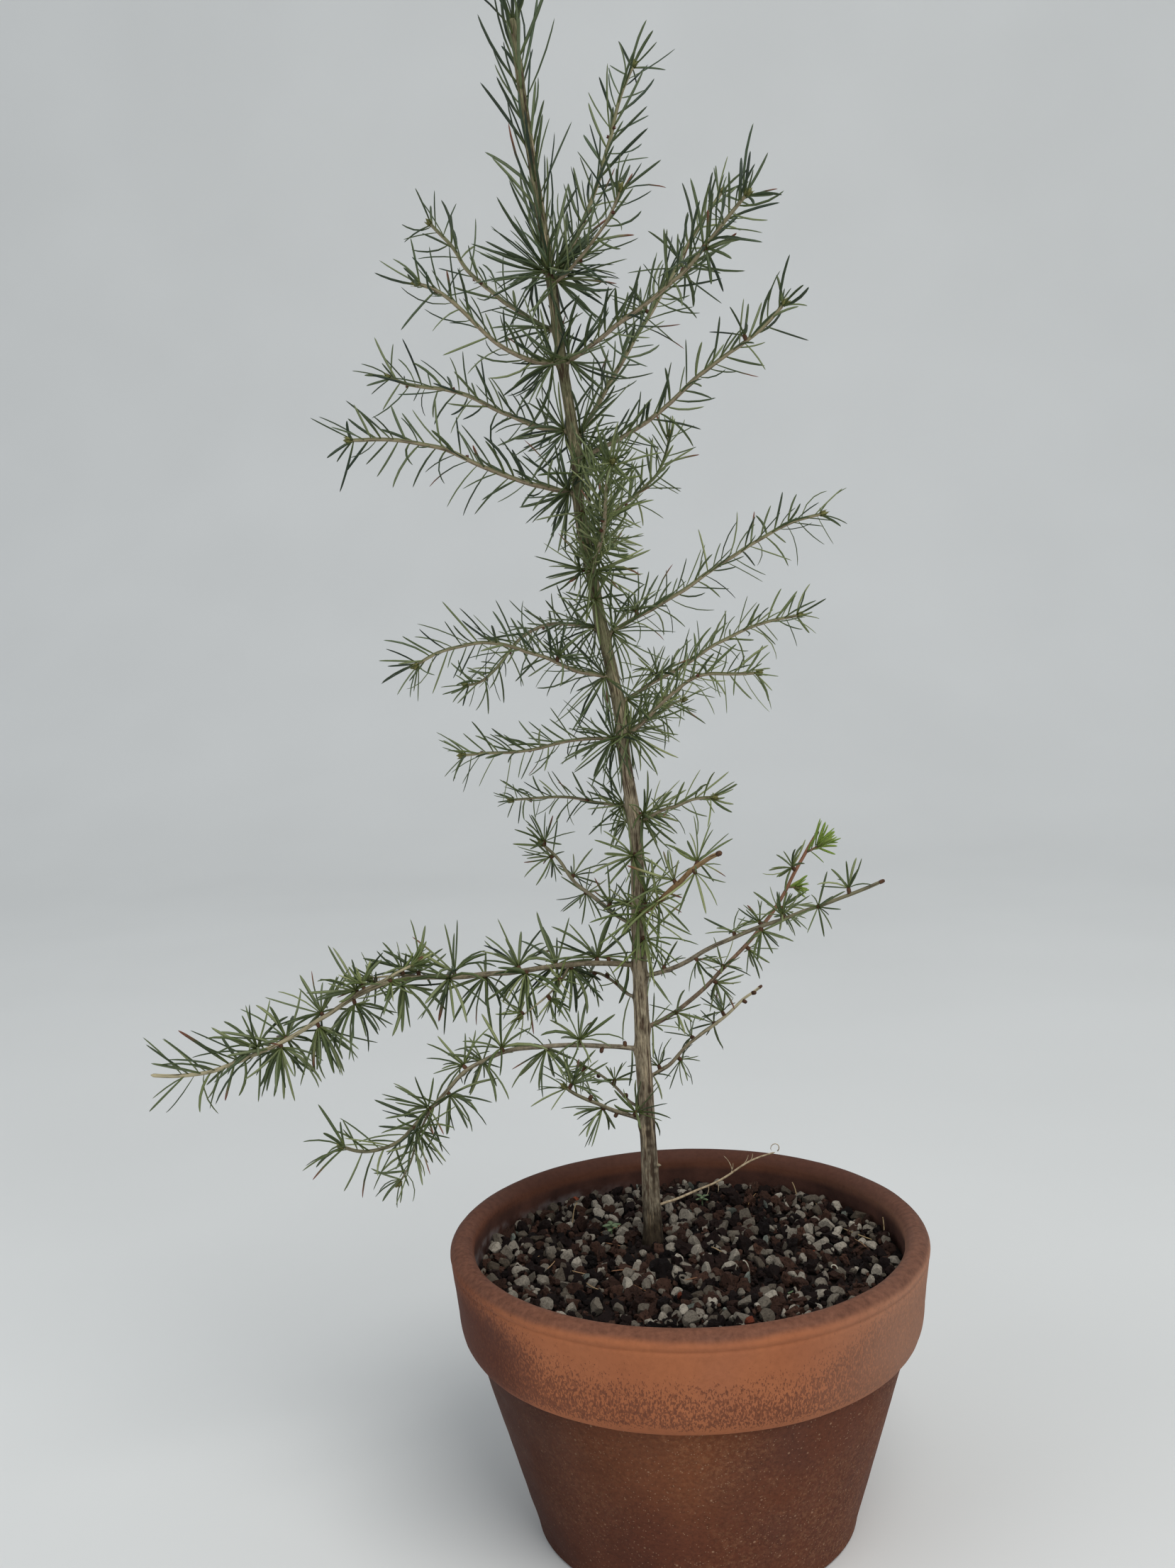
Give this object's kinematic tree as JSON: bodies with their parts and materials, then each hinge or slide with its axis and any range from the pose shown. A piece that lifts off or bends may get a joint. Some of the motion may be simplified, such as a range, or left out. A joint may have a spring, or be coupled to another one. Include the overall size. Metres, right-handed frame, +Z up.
{
  "type": "larch bonsai",
  "caption": "Young larch with needled branches on a slender upright trunk, growing in grit in a round terracotta pot with a broad rim band.",
  "frame": {"origin": "centre of the whole object's footprint box, on the table; the pot's own axis stands 71.5 mm to the right of it (+X)", "axes": "+Z up along the trunk, +X to the viewer's right, -Y towards the viewer who sees the tree's front"},
  "size_m": [0.3425, 0.2, 0.6355],
  "materials": {
    "terracotta": "matt, weathered, with mineral bloom and dark flecks",
    "grit": "rough mixed grains",
    "mesh_plastic": "matt",
    "bark": "rough grey-brown bark, smoother on young shoots",
    "dead_wood": "dry, bare and pale",
    "needle_green": "satin leaf",
    "weed_green": "matt leaf"
  },
  "bodies": {
    "root": {"dead_twig": "dead_wood", "drain_mesh": "mesh_plastic", "front_branch_01": "bark", "front_branch_02": "bark", "front_branch_03": "bark", "front_needles_01": "needle_green", "front_needles_02": "needle_green", "leader_needles": "needle_green", "left_branch_01": "bark", "left_branch_02": "bark", "left_branch_03": "bark", "left_branch_04": "bark", "left_branch_05": "bark", "left_branch_06": "bark", "left_branch_07": "bark", "left_branch_08": "bark", "left_branch_09": "bark", "left_branch_10": "bark", "left_branch_11": "bark", "left_branch_12": "bark", "left_branch_13": "bark", "left_branch_14": "bark", "left_needles_03": "needle_green", "left_needles_05": "needle_green", "left_needles_06": "needle_green", "left_needles_08": "needle_green", "left_needles_09": "needle_green", "left_needles_10": "needle_green", "left_needles_11": "needle_green", "left_needles_12": "needle_green", "left_needles_13": "needle_green", "left_needles_14": "needle_green", "pot": "terracotta", "right_branch_01": "bark", "right_branch_02": "bark", "right_branch_03": "bark", "right_branch_04": "bark", "right_branch_05": "bark", "right_branch_06": "bark", "right_branch_07": "bark", "right_branch_08": "bark", "right_branch_09": "bark", "right_branch_10": "bark", "right_branch_11": "bark", "right_branch_12": "bark", "right_branch_13": "bark", "right_needles_01": "needle_green", "right_needles_02": "needle_green", "right_needles_03": "needle_green", "right_needles_06": "needle_green", "right_needles_07": "needle_green", "right_needles_08": "needle_green", "right_needles_09": "needle_green", "right_needles_10": "needle_green", "right_needles_11": "needle_green", "right_needles_12": "needle_green", "right_needles_13": "needle_green", "substrate": "grit", "trunk": "bark", "weed_seedling": "weed_green"}
  },
  "joints": []
}
